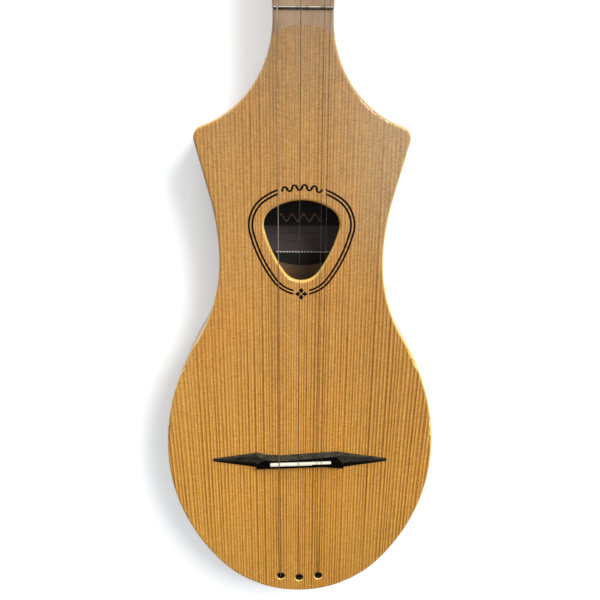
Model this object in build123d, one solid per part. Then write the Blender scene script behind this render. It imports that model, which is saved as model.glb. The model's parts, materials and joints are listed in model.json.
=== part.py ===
from build123d import *
import math
import os

# Stick dulcimer: four strings on a hollow maple body with a spruce soundboard, and a maple neck with
# diatonic frets. It is drawn lying on its back with y = 0 at the saddle, +y towards the headstock and z = 0
# at the back, and is moved along y at the end, so that the origin is the middle of its bounding box's underside.

# ---------------------------------------------------------------- driving dimensions (mm)
SCALE_LENGTH = 600.0        # nut to saddle
BODY_DEPTH = 42.0           # back to the soundboard's face
TOP_THICK = 3.0             # soundboard
BACK_THICK = 4.0
RIM_WALL = 9.0
TOP_EDGE_ROUND = 2.0        # round-over on the soundboard's outline and on the sound hole
BACK_EDGE_ROUND = 6.5
HOLLOW_SOUTH, HOLLOW_NORTH = -92.0, 214.0
HEEL_HOLLOW_R, HEEL_CREST_R = 46.0, 30.0

NECK_HALF, NECK_HALF_NUT = 17.9, 17.5
NECK_DEPTH_HEEL, NECK_DEPTH_NUT = 21.0, 18.5
HEEL_LENGTH = 40.0          # past the flare, where the neck takes its own section
HEEL_ROUNDS = [(1.7, 7.6), (1.4, 9.0)]      # upper and lower corners, half way along the flare and at its end
NECK_EDGE_ROUND = 1.0
NECK_ROUND, NECK_ROUND_NUT, THROAT_ROUND = 13.0, 12.5, 9.0      # lower corners
TENON_HALF, TENON_LENGTH, TENON_Z = 9.0, 28.0, (26.0, 36.0)

# body outline: arcs and one straight side, all tangent
TAIL_Y = -121.0
FLARE_START_Y, FLARE_R = 296.0, 65.3
SHOULDER_C = (59.9, 226.9)  # centre of the shoulder's tip
SIDE_ANGLE = 14.04          # degrees between the straight upper side and the y axis
WAIST = (53.95, 152.0)      # half width and its place
LOWER_WAIST_R = 110.0
BOUT = (96.4, 4.0)          # greatest half width and its place
BOUT_LOW_R = 149.0
SEAM_R, SEAM_TOP_Y = 30.0, 291.2    # round end of the soundboard against the neck

# sound hole: a rounded triangle of tangent arcs, measured outside its round-over
HOLE_TOP_C, HOLE_TOP_R = (0.0, 154.6), 36.0
HOLE_CORNER_C = (12.4, 172.6)
HOLE_BOTTOM_C, HOLE_BOTTOM_R = (0.0, 148.9), 15.5
HOLE_SIDE_R = 85.0
RING_OFFSETS = [5.2, 7.5]
RING_WIDTH = 1.3
RING_GAP_TOP, RING_GAP_BOTTOM = 15.2, 5.2   # half widths of the gaps that hold the ornaments
INLAY_DEPTH = 0.4
WAVE_R, WAVE_WIDTH, WAVE_HALVES, WAVE_BEAD_R = 2.2, 1.25, 8, 0.9    # wavy line in the upper gap
PETAL, PETAL_REACH, FLOWER_DROP = (4.0, 3.3), 2.3, 0.6             # flower in the lower gap
LABEL_C, LABEL_R, LABEL_THICK = (1.5, 163.5), (38.0, 27.0), 0.3

BRACE_YS = [207.0, 118.0, 52.0, -48.0]
BRACE_W, BRACE_H, BRACE_CHAMFER = 6.0, 8.0, 1.5
BRIDGE_PLATE = (78.0, 34.0, 2.5)

# strings, from the bass side (-x) to the treble side
STRINGS = ["bass", "middle", "treble_inner", "treble_outer"]
STRING_X = dict(bass=-15.0, middle=-1.5, treble_inner=12.1, treble_outer=15.4)
STRING_R = dict(bass=0.29, middle=0.19, treble_inner=0.15, treble_outer=0.15)
STRING_WRAPS = dict(bass=3, middle=4, treble_inner=5, treble_outer=5)
TAIL_HOLES = dict(bass=(-14.5, -106.3), middle=(-0.1, -107.9), treble=(14.9, -106.3))
TAIL_X = dict(bass=-14.5, middle=-0.1, treble_inner=14.3, treble_outer=15.5)
TAIL_LIFT = 0.4             # string's centre above the soundboard where it comes out
BEND_R = dict(tail=1.2, saddle=6.0, nut=6.0)
BUSHING_R, BUSHING_BORE, BUSHING_LENGTH, BUSHING_FLARE = 3.0, 1.7, 5.0, 0.8
TAIL_BEVEL = 0.5            # of the wood round each bushing
FERRULE_R, FERRULE_CUP_R, FERRULE_DEPTH = 5.4, 4.3, 8.0
FERRULE_ROOF = 2.0
BALL_R, BALL_LENGTH, BALL_ROUND = 1.9, 3.6, 0.5
BALL_SPREAD = 2.05          # the pair's ball ends stand this far each side of their shared hole
TAIL_BORE_R = 1.7

# bridge and saddle
BRIDGE_H, SADDLE_H, NUT_STRING_H = 5.6, 7.2, 1.5    # above the neck's and the soundboard's face
BRIDGE_TOP = [
    (-31.9, 4.6), (-25.5, 2.2), (-14.8, 1.3), (25.5, 4.9),
    (31.7, 4.7), (31.2, -5.0), (17.3, -3.7), (-31.4, -5.4),
]
BRIDGE_FOOT = [
    (-32.9, 5.7), (-25.5, 3.7), (-14.8, 2.9), (25.9, 6.0),
    (32.7, 5.2), (32.2, -6.4), (17.3, -5.0), (-32.4, -6.7),
]
BLOCK_BEVEL = {-1: (-25.5, 2.2), 1: (25.5, 4.9)}    # inner ends of the bevels that lead to the wings
BEVEL_OUTER_X = 31.9
WING_TIP, WING_ROOT_X = (63.4, -0.7), 31.2
WING_ROOT = [(5.2, 0), (4.4, 3.6), (0.0, 5.1), (-6.1, 1.6), (-6.3, 0)]      # its section, as y and z
WING_TAPER = 0.2
SADDLE_X = (-21.8, 22.3)
SADDLE_STEP_X = 8.5         # the treble pair's part is thinner
SADDLE_Y0, SADDLE_SLOPE = -0.7, 0.0325
SADDLE_W, SADDLE_STEP = 2.6, 0.8
SADDLE_SEAT_Z, SADDLE_CORNER = 2.6, 0.7
NUT_THICK, NUT_SEAT, NUT_H = 5.0, 2.0, 2.2
NUT_CHAMFER, NUT_ROUND = 1.5, 0.8
SLOT_PLAY = 0.06            # of a string in its slot in the nut, each side

FRET_SEMITONES = [2, 4, 5, 7, 9, 10, 11, 12]
FRET_CROWN_W, FRET_CROWN_H = 2.3, 1.1
FRET_TANG_W, FRET_TANG_H = 0.6, 1.6
FRET_INSET, FRET_END_ANGLE = 0.15, 30.0     # the crown's ends stop short of the neck's sides and lean in
DOT_GAPS = [3, 4, 6, 8]     # fret spaces that carry a side dot
DOT_R, DOT_DEPTH, DOT_DROP = 1.0, 1.0, 4.0

# headstock, drawn flat from the nut's back edge and then tilted back
HEAD_TILT, HEAD_THICK, HEAD_LENGTH = 11.0, 13.0, 90.0
HEAD_START, HEAD_SWELL = (16.3, -1.0), (19.9, 7.0)  # where its outline leaves the neck and widens
HEAD_WIDE, HEAD_NARROW = (22.5, 15.0), (20.0, 76.0)
HEAD_CORNER, HEAD_CROWN = (16.4, 84.4), (9.0, 88.4)
HEAD_ROUND = 1.5
HEAD_BITE = 0.3             # the neck's own wood ends this far below the headstock's face
THROAT_LENGTH = 9.0         # how far past the nut the neck's own section runs out
POSTS = dict(bass=(-15.5, 25.0), middle=(-12.5, 61.0), treble_inner=(12.5, 61.0), treble_outer=(15.5, 25.0))

# tuning machine, drawn about its post with z = 0 on the headstock's back face
RUN = 0.05                  # running clearance, radial
POST_R, POST_TOP, POST_BORE = 3.0, 10.0, 3.4
POST_CHAMFER = 0.8
WIND_R, WIND_Z = 2.5, 3.0   # the post's waist, and the winding's middle above the face
WAIST_CONES = [(1.2, 1.7), (4.6, 5.6)]      # heights above the face between which the post narrows and widens
GEAR_SCREW_R, GEAR_SCREW_LENGTH = 0.9, 3.6
GEAR_HEAD_R, GEAR_HEAD_H = 2.5, 1.2
POST_BUSH_R, POST_BUSH_FLANGE_R, POST_BUSH_LENGTH, POST_BUSH_FLANGE = 4.2, 5.4, 6.0, 0.8
GEAR_TEETH, WORM_PITCH, WORM_PITCH_R = 14, 1.7, 2.2
GEAR_PITCH_R = GEAR_TEETH * WORM_PITCH / (2 * math.pi)
TOOTH_ADD, TOOTH_DED = 0.46, 0.60
TOOTH_W, TOOTH_SLOPE = 0.56, 0.36   # width at the pitch line, and width lost per mm of height
WORM_Y = -(GEAR_PITCH_R + WORM_PITCH_R)
GEAR_Z, GEAR_FACE, GEAR_BORE = -4.3, 1.8, 1.8
SHAFT_R, WORM_HALF, WORM_TURNS = 1.2, 3.5, 3.5     # so many turns leave a gap at the gear's centre line
EAR_X, EAR_T, EAR_R = 4.7, 1.2, 2.5
COLLAR_R, COLLAR_W, COLLAR_GAP = 1.8, 1.0, 0.1      # on the worm's shaft, outside each ear
PLATE_HALF, PLATE_Y, PLATE_T, PLATE_CORNER = 6.0, (-13.8, 9.6), 1.2, 2.5
PLATE_SCREW_YS = [-11.3, 7.2]
SCREW_R, SCREW_HEAD_R, SCREW_HEAD_H, SCREW_LENGTH = 1.0, 1.9, 1.0, 8.0
SCREW_CROSS = (2.4, 0.5, 0.9)
BUTTON_X, BUTTON_SIZE = 13.5, (15.0, 11.5, 6.5)
BUTTON_NECK_R, BUTTON_NECK_LENGTH, SHAFT_IN_BUTTON = 2.4, 4.0, 5.0

TOP_Z = BODY_DEPTH
SEAT_Z = BODY_DEPTH - TOP_THICK
HEAD_Y = SCALE_LENGTH + NUT_THICK
HEAD = Pos(0, HEAD_Y, TOP_Z) * Rot(-HEAD_TILT, 0, 0)


# ---------------------------------------------------------------- helpers
def toward(a, b, distance):
    """The point at this distance from a in the direction of b."""
    gap = math.dist(a, b)
    return tuple(p + (q - p) * distance / gap for p, q in zip(a, b))


def arc(centre, start, end):
    """The shorter arc about centre from start to end, in the xy plane."""
    middle = tuple((p + q) / 2 for p, q in zip(start, end))
    return ThreePointArc(start, toward(centre, middle, math.dist(centre, start)), end)


def both_sides(edges_of):
    """A face bounded by the right side's edges and their mirror images; edges_of takes a flip for points."""
    return make_face(Wire(edges_of(lambda p: p) + edges_of(lambda p: (-p[0], p[1]))))


def box_between(low, high):
    size = [h - l for l, h in zip(low, high)]
    return Pos(*[(h + l) / 2 for l, h in zip(low, high)]) * Box(*size)


def rod(radius, low, high):
    """A cylinder about the z axis between two heights."""
    return Pos(0, 0, (low + high) / 2) * Cylinder(radius, high - low)


# ---------------------------------------------------------------- outlines
def outline():
    """Centres and tangent points of the right-hand half of the body, from the neck to the tail."""
    flare_c = (NECK_HALF + FLARE_R, FLARE_START_Y)
    tip_r = math.dist(flare_c, SHOULDER_C) - FLARE_R
    c, s = math.cos(math.radians(SIDE_ANGLE)), math.sin(math.radians(SIDE_ANGLE))
    waist_r = (tip_r - (WAIST[0] - SHOULDER_C[0]) * c + (WAIST[1] - SHOULDER_C[1]) * s) / (c - 1)
    upper_c = (WAIST[0] + waist_r, WAIST[1])
    lower_c = (WAIST[0] + LOWER_WAIST_R, WAIST[1])
    narrow, span = BOUT[0] - WAIST[0], BOUT[1] - WAIST[1]
    bout_c = (BOUT[0] - (narrow ** 2 + span ** 2) / (2 * narrow) + LOWER_WAIST_R, BOUT[1])
    low_c = (BOUT[0] - BOUT_LOW_R, BOUT[1])
    drop = BOUT[1] - TAIL_Y
    tail_r = (BOUT_LOW_R ** 2 - low_c[0] ** 2 - drop ** 2) / (2 * (BOUT_LOW_R - drop))
    tail_c = (0.0, TAIL_Y + tail_r)
    return dict(
        flare_c=flare_c, upper_c=upper_c, lower_c=lower_c, bout_c=bout_c, low_c=low_c, tail_c=tail_c,
        flare_end=toward(flare_c, SHOULDER_C, FLARE_R),
        tip_end=(SHOULDER_C[0] + tip_r * c, SHOULDER_C[1] - tip_r * s),
        side_end=(upper_c[0] - waist_r * c, upper_c[1] + waist_r * s),
        bout_start=toward(lower_c, bout_c, LOWER_WAIST_R),
        tail_start=toward(low_c, tail_c, BOUT_LOW_R),
    )


def flare_x(y):
    """Half width of the neck's flare at y."""
    return NECK_HALF + FLARE_R - math.sqrt(FLARE_R ** 2 - (FLARE_START_Y - y) ** 2)


def find_joint():
    """Where the soundboard's round end meets the outline, by bisection along the flare."""
    low, high = SEAM_TOP_Y - 15, SEAM_TOP_Y
    for _ in range(60):
        y = (low + high) / 2
        outside = math.hypot(flare_x(y), y - SEAM_TOP_Y + SEAM_R) > SEAM_R
        low, high = (low, y) if outside else (y, high)
    return low


JOINT_Y = find_joint()      # the neck's wood meets the body's in this plane
JOINT_HALF = flare_x(JOINT_Y)


def body_side(f):
    """One side of the outline from the neck joint down to the tail."""
    p = outline()
    return [
        arc(f(p["flare_c"]), f((JOINT_HALF, JOINT_Y)), f(p["flare_end"])),
        arc(f(SHOULDER_C), f(p["flare_end"]), f(p["tip_end"])),
        Line(f(p["tip_end"]), f(p["side_end"])),
        arc(f(p["upper_c"]), f(p["side_end"]), f(WAIST)),
        arc(f(p["lower_c"]), f(WAIST), f(p["bout_start"])),
        arc(f(p["bout_c"]), f(p["bout_start"]), f(BOUT)),
        arc(f(p["low_c"]), f(BOUT), f(p["tail_start"])),
        arc(f(p["tail_c"]), f(p["tail_start"]), (0.0, TAIL_Y)),
    ]


def body_face():
    return both_sides(lambda f: body_side(f) + [Line(f((JOINT_HALF, JOINT_Y)), (0.0, JOINT_Y))])


def top_face():
    """Plan of the soundboard, round where it meets the neck."""
    seam_c = (0.0, SEAM_TOP_Y - SEAM_R)
    return both_sides(lambda f: body_side(f) + [arc(seam_c, f((JOINT_HALF, JOINT_Y)), (0.0, SEAM_TOP_Y))])


def hole_face(grow):
    """The sound hole's rounded triangle, grown outwards by this much."""
    corner, bottom = HOLE_CORNER_C, HOLE_BOTTOM_C
    corner_r = HOLE_TOP_R - math.dist(HOLE_TOP_C, corner)
    to_corner, to_bottom = HOLE_SIDE_R - corner_r, HOLE_SIDE_R - HOLE_BOTTOM_R
    gap = math.dist(corner, bottom)
    along = (to_corner ** 2 - to_bottom ** 2 + gap ** 2) / (2 * gap)
    across = math.sqrt(to_corner ** 2 - along ** 2)
    ux, uy = (bottom[0] - corner[0]) / gap, (bottom[1] - corner[1]) / gap
    side = (corner[0] + ux * along + uy * across, corner[1] + uy * along - ux * across)
    top = (0.0, HOLE_TOP_C[1] + HOLE_TOP_R + grow)
    top_end = toward(HOLE_TOP_C, corner, HOLE_TOP_R + grow)
    side_start = toward(side, corner, HOLE_SIDE_R + grow)
    side_end = toward(side, bottom, HOLE_SIDE_R + grow)
    tip = (0.0, bottom[1] - HOLE_BOTTOM_R - grow)
    return both_sides(lambda f: [
        arc(HOLE_TOP_C, top, f(top_end)),
        arc(f(corner), f(top_end), f(side_start)),
        arc(f(side), f(side_start), f(side_end)),
        arc(bottom, f(side_end), tip),
    ])


# ---------------------------------------------------------------- body
def heel_cutter():
    """What is cut away under the heel: a concave curve from the neck that rounds over onto the back."""
    z_neck = TOP_Z - NECK_DEPTH_HEEL
    turn = math.acos(1 - z_neck / (HEEL_HOLLOW_R + HEEL_CREST_R))
    start_y, far_y = JOINT_Y - 4.0, JOINT_Y + 20.0

    def hollow(angle):
        drop = HEEL_HOLLOW_R * (1 - math.cos(angle))
        return (0.0, start_y - HEEL_HOLLOW_R * math.sin(angle), z_neck - drop)

    middle = hollow(turn)
    end_y = middle[1] - HEEL_CREST_R * math.sin(turn)
    crest = (0.0, end_y + HEEL_CREST_R * math.sin(turn / 2), HEEL_CREST_R * (1 - math.cos(turn / 2)))
    rest = [(0.0, end_y, 0.0), (0.0, end_y, -10.0), (0.0, far_y, -10.0), (0.0, far_y, z_neck), hollow(0)]
    edges = [ThreePointArc(hollow(0), hollow(turn / 2), middle), ThreePointArc(middle, crest, rest[0])]
    edges += [Line(a, b) for a, b in zip(rest, rest[1:])]
    return extrude(make_face(Wire(edges)), 90, dir=(1, 0, 0), both=True)


def hollow_face(wall):
    """Plan of the space inside the rim, this far in from the outline and between the two end blocks."""
    inside = offset(body_face(), -wall)
    return inside & Pos(0, (HOLLOW_SOUTH + HOLLOW_NORTH) / 2) * Rectangle(200, HOLLOW_NORTH - HOLLOW_SOUTH)


def tenon():
    low, high = TENON_Z
    return box_between((-TENON_HALF, JOINT_Y - TENON_LENGTH, low), (TENON_HALF, JOINT_Y + 5, high))


def on_underside(edge):
    """Whether an edge runs along the outline of the back or of the heel."""
    size = edge.bounding_box().size
    return edge.center().Z < TOP_Z - NECK_DEPTH_HEEL + 1 and size.Y > 0.01 and size.Z < 30


def tail_spots():
    return [Pos(x, y, 0) for x, y in TAIL_HOLES.values()]


def body():
    block = extrude(body_face(), SEAT_Z) - heel_cutter()
    block = fillet([e for e in block.edges() if on_underside(e)], BACK_EDGE_ROUND)
    block -= Pos(0, 0, BACK_THICK) * extrude(hollow_face(RIM_WALL), TOP_Z)
    for spot in tail_spots():
        block -= spot * rod(FERRULE_R, -1, FERRULE_DEPTH)
        block -= spot * rod(TAIL_BORE_R, 0, TOP_Z)
        block -= spot * rod(BUSHING_R, TOP_Z - BUSHING_LENGTH, TOP_Z)
    return block - tenon()


def braces():
    """Ladder braces glued under the soundboard, just short of the rim."""
    inside = hollow_face(RIM_WALL + 1)
    bars = []
    for y in BRACE_YS:
        bar = extrude(inside & Pos(0, y) * Rectangle(200, BRACE_W), BRACE_H)
        bar = chamfer(bar.edges().filter_by(Axis.X).group_by(Axis.Z)[0], BRACE_CHAMFER)
        bars.append(Pos(0, 0, SEAT_Z - BRACE_H) * bar)
    return bars


def bridge_plate():
    return Pos(0, 0, SEAT_Z - BRIDGE_PLATE[2] / 2) * Box(*BRIDGE_PLATE)


def label():
    return Pos(LABEL_C[0], LABEL_C[1], BACK_THICK) * extrude(Ellipse(*LABEL_R), LABEL_THICK)


# ---------------------------------------------------------------- soundboard and what is inlaid in it
def inlay(face):
    return Pos(0, 0, TOP_Z - INLAY_DEPTH) * extrude(face, INLAY_DEPTH)


def rosette_rings():
    rings = []
    for off in RING_OFFSETS:
        band = hole_face(off + RING_WIDTH / 2) - hole_face(off - RING_WIDTH / 2)
        band -= Pos(0, HOLE_TOP_C[1] + HOLE_TOP_R) * Rectangle(2 * RING_GAP_TOP, 40)
        band -= Pos(0, HOLE_BOTTOM_C[1] - HOLE_BOTTOM_R) * Rectangle(2 * RING_GAP_BOTTOM, 30)
        rings += inlay(band).solids()
    return rings


def lozenge(length, width):
    return make_face(Polyline((-length / 2, 0), (0, width / 2), (length / 2, 0), (0, -width / 2), close=True))


def wave():
    """A wavy line along the rings' arc: half rings that turn up and down by turns, with beads between them."""
    bow_r = HOLE_TOP_R + sum(RING_OFFSETS) / 2
    step = math.degrees((2 * WAVE_R - WAVE_WIDTH) / bow_r)
    ring = Circle(WAVE_R) - Circle(WAVE_R - WAVE_WIDTH)
    line = Sketch()
    for index in range(WAVE_HALVES + 1):
        place = Rot(0, 0, (index - WAVE_HALVES / 2) * step) * Pos(0, bow_r)
        line += place * Circle(WAVE_BEAD_R)
    for index in range(WAVE_HALVES):
        place = Rot(0, 0, (index + 0.5 - WAVE_HALVES / 2) * step) * Pos(0, bow_r)
        side = 1 if index % 2 else -1
        line += place * (ring & Pos(0, side * WAVE_R) * Rectangle(3 * WAVE_R, 2 * WAVE_R))
    return Pos(*HOLE_TOP_C) * line


def rosette_ornaments():
    """A wavy line in the upper gap of the rings, and a four-petalled flower in the lower one."""
    pieces = [inlay(wave())]
    flower = Pos(0, HOLE_BOTTOM_C[1] - HOLE_BOTTOM_R - sum(RING_OFFSETS) / 2 - FLOWER_DROP)
    for quarter in range(4):
        pieces.append(inlay(flower * Rot(0, 0, 90 * quarter) * Pos(PETAL_REACH, 0) * lozenge(*PETAL)))
    return [solid for piece in pieces for solid in piece.solids()]


def soundboard():
    board = Pos(0, 0, SEAT_Z) * extrude(top_face(), TOP_THICK)
    upper = [e for e in board.edges() if e.bounding_box().min.Z > TOP_Z - 0.01 and e.center().Y < JOINT_Y]
    board = fillet(upper, TOP_EDGE_ROUND)
    opening = Pos(0, 0, SEAT_Z) * extrude(hole_face(-TOP_EDGE_ROUND), TOP_THICK)
    rim = [e for e in opening.edges() if e.bounding_box().min.Z > TOP_Z - 0.01]
    board -= opening
    marks = [e.center() for e in rim]
    near = [e for e in board.edges() if any((e.center() - m).length < 0.01 for m in marks)]
    board = fillet(near, TOP_EDGE_ROUND)
    for spot in tail_spots():
        board -= spot * rod(BUSHING_R, 0, TOP_Z + 1)
        bevel = Cone(BUSHING_R, BUSHING_R + TAIL_BEVEL, TAIL_BEVEL)
        board -= spot * Pos(0, 0, TOP_Z - TAIL_BEVEL / 2) * bevel
    for piece in rosette_rings() + rosette_ornaments():
        board -= piece
    return board


# ---------------------------------------------------------------- neck
def neck_section(y, half, depth, top_r, low_r):
    """A cross-section of the neck: flat on top, with its lower corners rounded."""
    plane = Plane(origin=(0, y, TOP_Z), x_dir=(1, 0, 0), z_dir=(0, 1, 0))
    shape = Pos(0, depth / 2) * Rectangle(2 * half, depth)
    shape = fillet(shape.vertices().group_by(Axis.Y)[0], top_r)
    shape = fillet(shape.vertices().group_by(Axis.Y)[-1], low_r)
    return plane * shape


def neck_shaft():
    middle_y = (JOINT_Y + FLARE_START_Y) / 2
    heel_y, top_round = FLARE_START_Y + HEEL_LENGTH, NECK_EDGE_ROUND
    heel = [
        neck_section(JOINT_Y, JOINT_HALF, NECK_DEPTH_HEEL, TOP_EDGE_ROUND, BACK_EDGE_ROUND),
        neck_section(middle_y, flare_x(middle_y), NECK_DEPTH_HEEL, *HEEL_ROUNDS[0]),
        neck_section(FLARE_START_Y, NECK_HALF, NECK_DEPTH_HEEL, *HEEL_ROUNDS[1]),
        neck_section(heel_y, NECK_HALF, NECK_DEPTH_HEEL - 0.5, top_round, NECK_ROUND),
    ]
    nut_section = neck_section(SCALE_LENGTH - 10, NECK_HALF_NUT, NECK_DEPTH_NUT, top_round, NECK_ROUND_NUT)
    upper = [heel[-1], nut_section]
    tilt = math.radians(HEAD_TILT)
    depth = THROAT_LENGTH * math.tan(tilt) + HEAD_THICK / math.cos(tilt)
    run_out = neck_section(HEAD_Y + THROAT_LENGTH, NECK_HALF_NUT, depth, top_round, THROAT_ROUND)
    throat = [nut_section, run_out]
    return loft(heel) + loft(upper, ruled=True) + loft(throat, ruled=True)


def head_face():
    return both_sides(lambda f: [
        Spline(f(HEAD_START), f(HEAD_SWELL), f(HEAD_WIDE), tangents=[(0, 1), (0, 1)]),
        Line(f(HEAD_WIDE), f(HEAD_NARROW)),
        ThreePointArc(f(HEAD_NARROW), f(HEAD_CORNER), f(HEAD_CROWN)),
        Line(f(HEAD_CROWN), (0.0, HEAD_LENGTH)),
        Line(f(HEAD_START), (0.0, HEAD_START[1])),
    ])


def headstock():
    block = Pos(0, 0, -HEAD_THICK) * extrude(head_face(), HEAD_THICK)
    rims = [e for e in block.edges() if e.bounding_box().size.Z < 0.01 and e.center().Y > 3]
    block = fillet(rims, HEAD_ROUND)
    for x, y in POSTS.values():
        block -= Pos(x, y, -HEAD_THICK) * rod(POST_BORE, -1, HEAD_THICK + 1)
        block -= Pos(x, y, 0) * rod(POST_BUSH_R, -POST_BUSH_LENGTH, 1)
        for screw_y in PLATE_SCREW_YS:
            block -= Pos(x, y + screw_y, -HEAD_THICK) * rod(SCREW_R, -1, SCREW_LENGTH - PLATE_T)
    return HEAD * block


def fret_ys():
    return [SCALE_LENGTH * 2 ** (-semitones / 12) for semitones in FRET_SEMITONES]


def neck_half(y):
    share = (y - FLARE_START_Y) / (SCALE_LENGTH - FLARE_START_Y)
    return NECK_HALF + (NECK_HALF_NUT - NECK_HALF) * max(share, 0)


def fret(y):
    """Crown and tang of a fret, in one piece."""
    half = neck_half(y) - FRET_INSET
    w, h = FRET_CROWN_W / 2, FRET_CROWN_H
    tang = FRET_TANG_W / 2
    profile = make_face(Wire([
        ThreePointArc((0, y - w, 0), (0, y, h), (0, y + w, 0)),
        Line((0, y + w, 0), (0, y + tang, 0)),
        Line((0, y + tang, 0), (0, y + tang, -FRET_TANG_H)),
        Line((0, y + tang, -FRET_TANG_H), (0, y - tang, -FRET_TANG_H)),
        Line((0, y - tang, -FRET_TANG_H), (0, y - tang, 0)),
        Line((0, y - tang, 0), (0, y - w, 0)),
    ]))
    bar = extrude(profile, half, dir=(1, 0, 0), both=True)
    for side in (-1, 1):
        bar -= Pos(side * (half + 1.0), y, h) * Rot(0, side * FRET_END_ANGLE, 0) * Box(2.6, 4, 6)
    return Pos(0, 0, TOP_Z) * bar


def neck_blank():
    above_head = HEAD * box_between((-40, 0, -HEAD_BITE), (40, 60, 20))
    blank = (neck_shaft() - above_head) + headstock()
    blank -= Pos(0, 0, SEAT_Z) * extrude(top_face(), TOP_THICK + 1)
    return blank + tenon()


def side_dots(blank):
    ys = [SCALE_LENGTH] + fret_ys()
    dots = []
    for gap in DOT_GAPS:
        y = (ys[gap - 1] + ys[gap]) / 2
        x = -neck_half(y)
        pin = Pos(x, y, TOP_Z - DOT_DROP) * Rot(0, 90, 0) * Cylinder(DOT_R, 2 * DOT_DEPTH)
        dots += (pin & blank).solids()
    return dots


def neck(blank, dots):
    wood = blank - nut_seat()
    for y in fret_ys():
        slot = (0, y, TOP_Z - FRET_TANG_H / 2)
        wood -= Pos(*slot) * Box(80, FRET_TANG_W, FRET_TANG_H)
    for dot in dots:
        wood -= dot
    return wood


def nut_seat():
    return box_between((-30, SCALE_LENGTH, TOP_Z - NUT_SEAT), (30, HEAD_Y, TOP_Z + 10))


def nut():
    half = NECK_HALF_NUT - 0.3
    block = box_between((-half, SCALE_LENGTH, TOP_Z - NUT_SEAT), (half, HEAD_Y, TOP_Z + NUT_H))
    back_edge = block.edges().filter_by(Axis.X).group_by(Axis.Z)[-1].sort_by(Axis.Y)[-1]
    block = chamfer(back_edge, NUT_CHAMFER)
    block = fillet(block.edges().filter_by(Axis.Y).group_by(Axis.Z)[-1], NUT_ROUND)
    for name in STRINGS:
        x, half_slot = STRING_X[name], STRING_R[name] + SLOT_PLAY
        low = (x - half_slot, SCALE_LENGTH - 1, TOP_Z + NUT_STRING_H)
        block -= box_between(low, (x + half_slot, HEAD_Y + 1, TOP_Z + 5))
    return block


# ---------------------------------------------------------------- bridge and saddle
def saddle_y(x):
    """Middle of the saddle's crest."""
    shift = SADDLE_STEP / 2 if x > SADDLE_STEP_X else 0.0
    return SADDLE_Y0 + SADDLE_SLOPE * x + shift


def saddle_part(x0, x1, width):
    """A length of the saddle with a rounded crest, turned to its slant."""
    middle = (x0 + x1) / 2
    height = SADDLE_H - SADDLE_SEAT_Z
    bar = Pos(0, 0, height / 2) * Box(x1 - x0, width, height)
    bar = fillet(bar.edges().filter_by(Axis.X).group_by(Axis.Z)[-1], width / 2 - 0.25)
    slant = math.degrees(math.atan(SADDLE_SLOPE))
    return Pos(middle, saddle_y(middle), TOP_Z + SADDLE_SEAT_Z) * Rot(0, 0, slant) * bar


def saddle():
    thick = saddle_part(SADDLE_X[0], SADDLE_STEP_X, SADDLE_W)
    thin = saddle_part(SADDLE_STEP_X - 1, SADDLE_X[1], SADDLE_W - SADDLE_STEP)
    whole = thick + thin
    upright = whole.edges().filter_by(Axis.Z)
    ends = [e for e in upright if not SADDLE_X[0] + 2 < e.center().X < SADDLE_X[1] - 2]
    return fillet(ends, SADDLE_CORNER)


def bridge_wing(side):
    """A wing: a faceted section that dies away to its tip."""
    root = [(side * WING_ROOT_X, y, z) for y, z in WING_ROOT]
    tip = [(side * WING_TIP[0], WING_TIP[1] + y * WING_TAPER, z * WING_TAPER) for y, z in WING_ROOT]
    return loft([make_face(Polyline(*points, close=True)) for points in (root, tip)], ruled=True)


def bridge_bevel(side):
    """What is cut off the block's north corner, so that its top runs down into the wing's ridge."""
    ridge, shoulder = [Vector(side * BEVEL_OUTER_X, y, z) for y, z in (WING_ROOT[2], WING_ROOT[1])]
    inner = Vector(*BLOCK_BEVEL[side], BRIDGE_H)
    normal = (ridge - inner).cross(shoulder - inner)
    up = normal if normal.Z > 0 else -normal
    return Plane(origin=inner, z_dir=up) * Pos(0, 0, 10) * Box(60, 60, 20)


def bridge():
    foot = make_face(Polyline(*[(x, y, 0) for x, y in BRIDGE_FOOT], close=True))
    crown = make_face(Polyline(*[(x, y, BRIDGE_H) for x, y in BRIDGE_TOP], close=True))
    block = loft([foot, crown], ruled=True) - bridge_bevel(-1) - bridge_bevel(1)
    return Pos(0, 0, TOP_Z) * (block + bridge_wing(-1) + bridge_wing(1)) - saddle()


# ---------------------------------------------------------------- strings and what holds them
def wind_contact(name):
    """Where a string, coming from the nut, meets its winding's inner side, in the headstock's flat frame."""
    r = STRING_R[name]
    px, py = POSTS[name]
    reach = WIND_R + 3 * r + 0.08
    start = (STRING_X[name], -1.2)
    side = -1 if px > 0 else 1
    gap = math.dist(start, (px, py))
    lean = math.atan2(px - start[0], py - start[1]) + side * math.asin(reach / gap)
    run = math.sqrt(gap ** 2 - reach ** 2)
    return start[0] + run * math.sin(lean), start[1] + run * math.cos(lean), WIND_Z


def string_route(name):
    """Corners of a string's path and the radius of the bend at each inner one."""
    r = STRING_R[name]
    tail_y = TAIL_HOLES[name.split("_")[0]][1]
    x = STRING_X[name]
    end = (HEAD * Pos(*wind_contact(name))).position
    corners = [
        (TAIL_X[name], tail_y, FERRULE_DEPTH - FERRULE_ROOF),
        (TAIL_X[name], tail_y, TOP_Z + TAIL_LIFT),
        (x, saddle_y(x), TOP_Z + SADDLE_H + r),
        (x, HEAD_Y - 1.2, TOP_Z + NUT_STRING_H + r),
        tuple(end),
    ]
    return corners, list(BEND_R.values())


def string(name):
    corners, radii = string_route(name)
    path = FilletPolyline(*corners, radius=radii)
    section = Plane(origin=corners[0], z_dir=(0, 0, 1)) * Circle(STRING_R[name])
    return sweep(section, path=path)


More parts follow.
